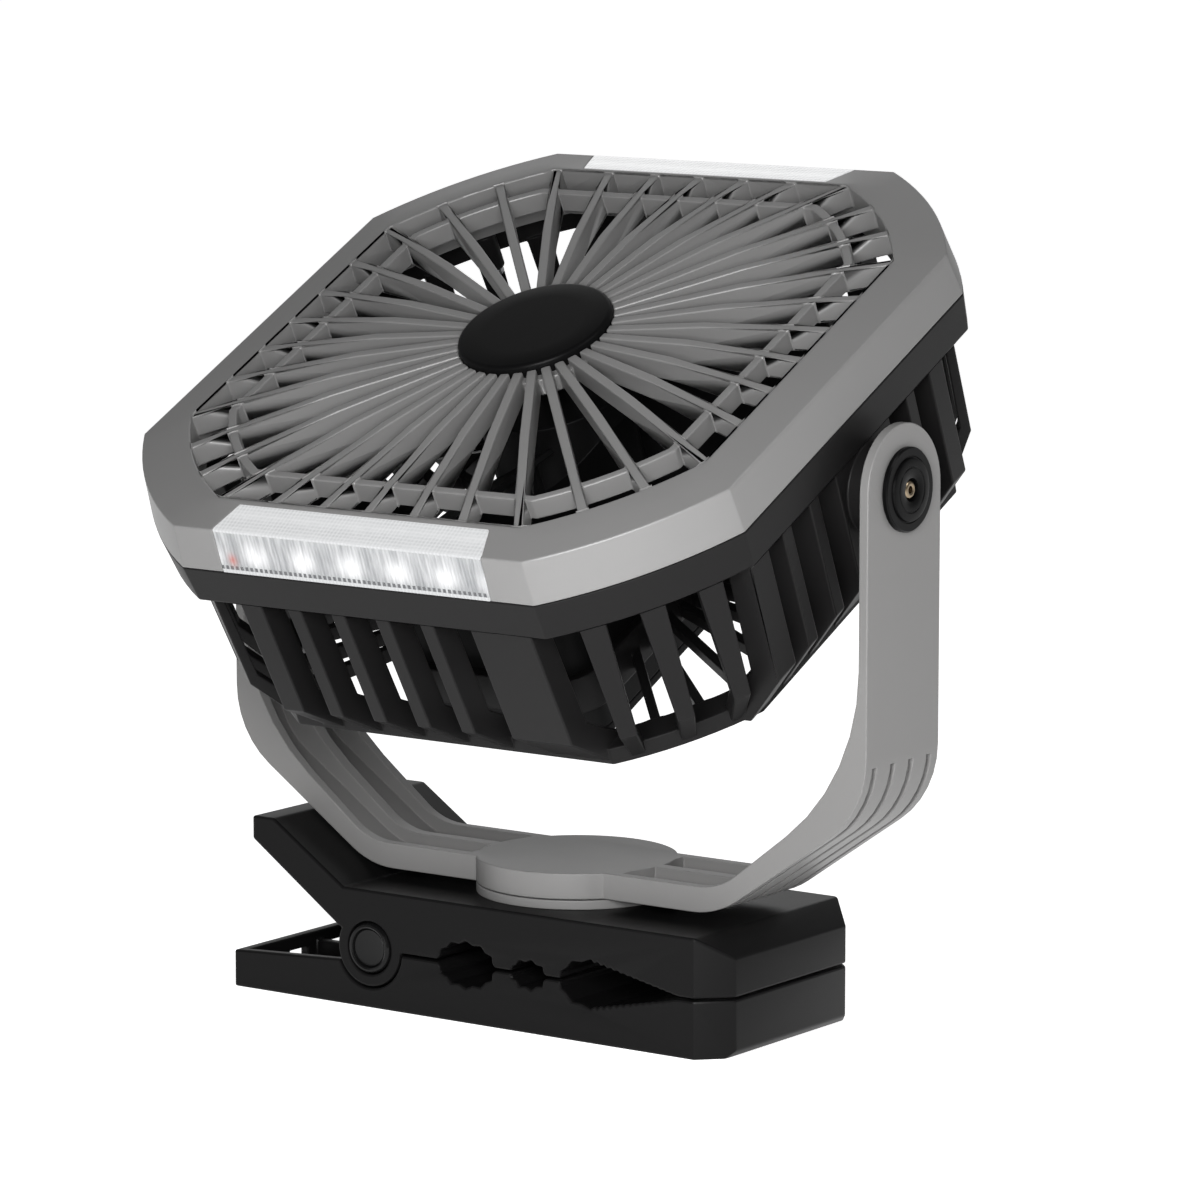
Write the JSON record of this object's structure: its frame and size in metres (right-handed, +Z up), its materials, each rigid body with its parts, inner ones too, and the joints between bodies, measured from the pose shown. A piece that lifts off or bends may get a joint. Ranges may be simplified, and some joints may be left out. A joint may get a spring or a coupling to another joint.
{
  "type": "clip-on fan",
  "caption": "Clip-on camping fan with a sprung jaw clip, turntable, tilting yoke, chamfered square head, radial grille and lamp bars.",
  "frame": {"origin": "on the resting face of the clip, under the swivel axis", "axes": "+X from the swivel axis to the jaw tip, +Z up along the swivel axis"},
  "size_m": [0.213, 0.1938, 0.225],
  "materials": {
    "black_plastic": "fine satin moulding",
    "grey_plastic": "fine satin moulding",
    "button_plastic": "satin",
    "clear_plastic": "clear, prismatic",
    "white_board": "gloss",
    "lamp_chip": "gloss",
    "green_board": "gloss",
    "nylon": "satin",
    "rubber": "matte",
    "steel": "satin",
    "brass": "satin",
    "cell_wrap": "film wrap"
  },
  "bodies": {
    "lower_clip": {"lower_jaw": "black_plastic", "clip_pin": "steel", "clip_spring": "steel"},
    "upper_clip": {"upper_jaw": "black_plastic", "turntable_ring": "grey_plastic", "swivel_washer": "steel"},
    "yoke": {"yoke": "grey_plastic", "swivel_bolt": "steel", "swivel_insert": "brass", "tilt_washers": "nylon"},
    "head": {"front_grille": "grey_plastic", "hub_badge": "black_plastic", "lamp_lens_lower": "clear_plastic", "lamp_lens_upper": "clear_plastic", "led_board_lower": "white_board", "led_board_upper": "white_board", "led_chips_lower": "lamp_chip", "led_chips_upper": "lamp_chip", "rear_cage": "black_plastic", "grille_screws": "steel", "pivot_cap_left": "black_plastic", "pivot_cap_right": "black_plastic", "pivot_screws": "brass", "rear_pod": "black_plastic", "pod_cover": "black_plastic", "pod_screws": "steel", "circuit_board": "green_board", "battery_cells": "cell_wrap", "battery_tray": "black_plastic", "tact_switches": "nylon", "usb_socket": "steel", "port_plug": "rubber", "bearing_tube": "brass", "motor_bearings": "steel", "motor_stator": "steel"},
    "rotor": {"motor_shaft": "steel", "rotor_cup": "steel", "impeller": "black_plastic", "spinner_nut": "black_plastic"},
    "fan_button": {"fan_button": "button_plastic"},
    "light_button": {"light_button": "button_plastic"}
  },
  "joints": [
    {"name": "clip", "type": "hinge", "parent": "lower_clip", "child": "upper_clip", "pos_m": [-0.045, 0, 0.0165], "axis": [0, -1, 0], "range_deg": [0, 30], "stiffness_Nm_per_rad": 2, "springref_deg": -40.11, "deforming": ["clip_spring"]},
    {"name": "swivel", "type": "hinge", "parent": "upper_clip", "child": "yoke", "pos_m": [0, 0, 0.035], "axis": [0, 0, 1], "continuous": true},
    {"name": "tilt", "type": "hinge", "parent": "yoke", "child": "head", "pos_m": [0, 0, 0.1498], "axis": [1, 0, 0], "continuous": true},
    {"name": "spin", "type": "hinge", "parent": "head", "child": "rotor", "pos_m": [0, 0, 0.1498], "axis": [0, -0.454, 0.891], "continuous": true},
    {"name": "fan_press", "type": "slide", "parent": "head", "child": "fan_button", "axis": [0, -0.454, 0.891], "range_m": [0, 0.001], "stiffness_N_per_m": 900, "springref_m": -0.0006},
    {"name": "light_press", "type": "slide", "parent": "head", "child": "light_button", "axis": [0, -0.454, 0.891], "range_m": [0, 0.001], "stiffness_N_per_m": 900, "springref_m": -0.0006}
  ]
}
